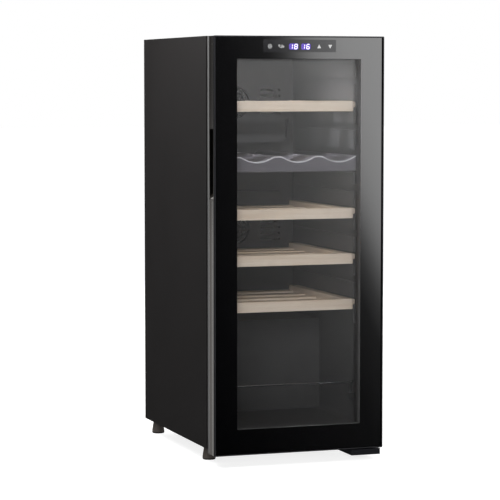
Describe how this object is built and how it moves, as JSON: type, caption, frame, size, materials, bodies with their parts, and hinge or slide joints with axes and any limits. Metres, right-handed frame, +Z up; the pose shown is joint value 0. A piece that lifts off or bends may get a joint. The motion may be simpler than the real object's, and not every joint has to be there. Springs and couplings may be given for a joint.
{
  "type": "wine cooler",
  "caption": "Free-standing dual-zone wine cooler: glass door hinged on the right, slatted wooden shelves, zone divider, wire bottle guard and levelling feet.",
  "frame": {"origin": "centre of the overall footprint, at floor level under the feet", "axes": "+Z up, the door faces -Y, the door is hinged on the +X side"},
  "size_m": [0.345, 0.466, 0.82],
  "materials": {
    "painted_steel": "satin",
    "galvanised": "satin",
    "foam": "matte",
    "liner": "satin",
    "runner": "satin",
    "divider": "satin",
    "dark_plastic": "satin",
    "beech": "satin",
    "chrome_wire": "polished",
    "aluminium_fin": "satin",
    "door_profile": "satin",
    "light_bar": "satin",
    "fan_plastic": "satin",
    "compressor_paint": "satin",
    "rubber_black": "matte",
    "copper": "satin",
    "outer_glass": "polished",
    "clear_glass": "polished",
    "seal": "matte",
    "electronics": "satin",
    "display": "gloss",
    "steel": "satin",
    "nylon": "satin",
    "hinge_cover": "satin",
    "foot": "satin"
  },
  "bodies": {
    "cabinet": {"screws": "steel", "side_panel_right": "painted_steel", "side_panel_left": "painted_steel", "top_panel": "painted_steel", "back_panel": "painted_steel", "base_plate": "galvanised", "foot_nuts": "steel", "inner_liner": "liner", "foam_insulation": "foam", "shelf_runner_right": "runner", "shelf_runner_left": "runner", "zone_divider": "divider", "led_bars": "light_bar", "bottle_guard": "chrome_wire", "guard_lugs": "dark_plastic", "duct_cover_upper": "runner", "duct_cover_lower": "runner", "fan_frames": "fan_plastic", "evaporators": "aluminium_fin", "temperature_probes": "dark_plastic", "bay_wall": "galvanised", "compressor": "compressor_paint", "compressor_grommets": "rubber_black", "condenser": "aluminium_fin", "condenser_fan_frame": "fan_plastic", "evaporating_tray": "dark_plastic", "control_box": "dark_plastic", "filter_drier": "copper", "refrigerant_lines": "copper", "rear_cover": "painted_steel", "cord_gland": "rubber_black", "hinge_pins": "steel", "hinge_bracket_top": "steel", "hinge_bracket_bottom": "steel", "hinge_cover_bottom": "hinge_cover"},
    "door": {"door_glass": "outer_glass", "glass_spacer": "aluminium_fin", "inner_glass": "clear_glass", "door_profile_right": "door_profile", "door_profile_left": "door_profile", "door_profile_bottom": "door_profile", "door_profile_top": "door_profile", "handle_cup": "door_profile", "inner_frame": "dark_plastic", "door_gasket": "seal", "display_board": "electronics", "digit_display": "display", "touch_pads": "steel", "hinge_bushes": "nylon"},
    "rack_1": {"shelf_1": "beech"},
    "rack_2": {"shelf_2": "beech"},
    "rack_3": {"shelf_3": "beech"},
    "rack_4": {"shelf_4": "beech"},
    "upper_fan": {"fan_rotor_upper": "fan_plastic"},
    "lower_fan": {"fan_rotor_lower": "fan_plastic"},
    "bay_fan": {"condenser_fan_rotor": "fan_plastic"},
    "leg_front_left": {"foot_front_left": "foot"},
    "leg_rear_left": {"foot_rear_left": "foot"},
    "leg_front_right": {"foot_front_right": "foot"},
    "leg_rear_right": {"foot_rear_right": "foot"}
  },
  "joints": [
    {"name": "door_hinge", "type": "hinge", "parent": "cabinet", "child": "door", "pos_m": [0.16, -0.213, 0.4], "axis": [0, 0, 1], "range_deg": [0, 110]},
    {"name": "shelf_1_slide", "type": "slide", "parent": "cabinet", "child": "rack_1", "axis": [0, -1, 0], "range_m": [0, 0.018]},
    {"name": "shelf_2_slide", "type": "slide", "parent": "cabinet", "child": "rack_2", "axis": [0, -1, 0], "range_m": [0, 0.018]},
    {"name": "shelf_3_slide", "type": "slide", "parent": "cabinet", "child": "rack_3", "axis": [0, -1, 0], "range_m": [0, 0.018]},
    {"name": "shelf_4_slide", "type": "slide", "parent": "cabinet", "child": "rack_4", "axis": [0, -1, 0], "range_m": [0, 0.018]},
    {"name": "upper_fan_spin", "type": "hinge", "parent": "cabinet", "child": "upper_fan", "pos_m": [0, 0.167, 0.69], "axis": [0, 1, 0], "continuous": true},
    {"name": "lower_fan_spin", "type": "hinge", "parent": "cabinet", "child": "lower_fan", "pos_m": [0, 0.167, 0.428], "axis": [0, 1, 0], "continuous": true},
    {"name": "bay_fan_spin", "type": "hinge", "parent": "cabinet", "child": "bay_fan", "pos_m": [0.086, 0.113, 0.1221], "axis": [0, 1, 0], "continuous": true},
    {"name": "foot_front_left_screw", "type": "slide", "parent": "cabinet", "child": "leg_front_left", "axis": [0, 0, -1], "range_m": [0, 0.008]},
    {"name": "foot_rear_left_screw", "type": "slide", "parent": "cabinet", "child": "leg_rear_left", "axis": [0, 0, -1], "range_m": [0, 0.008]},
    {"name": "foot_front_right_screw", "type": "slide", "parent": "cabinet", "child": "leg_front_right", "axis": [0, 0, -1], "range_m": [0, 0.008]},
    {"name": "foot_rear_right_screw", "type": "slide", "parent": "cabinet", "child": "leg_rear_right", "axis": [0, 0, -1], "range_m": [0, 0.008]}
  ]
}
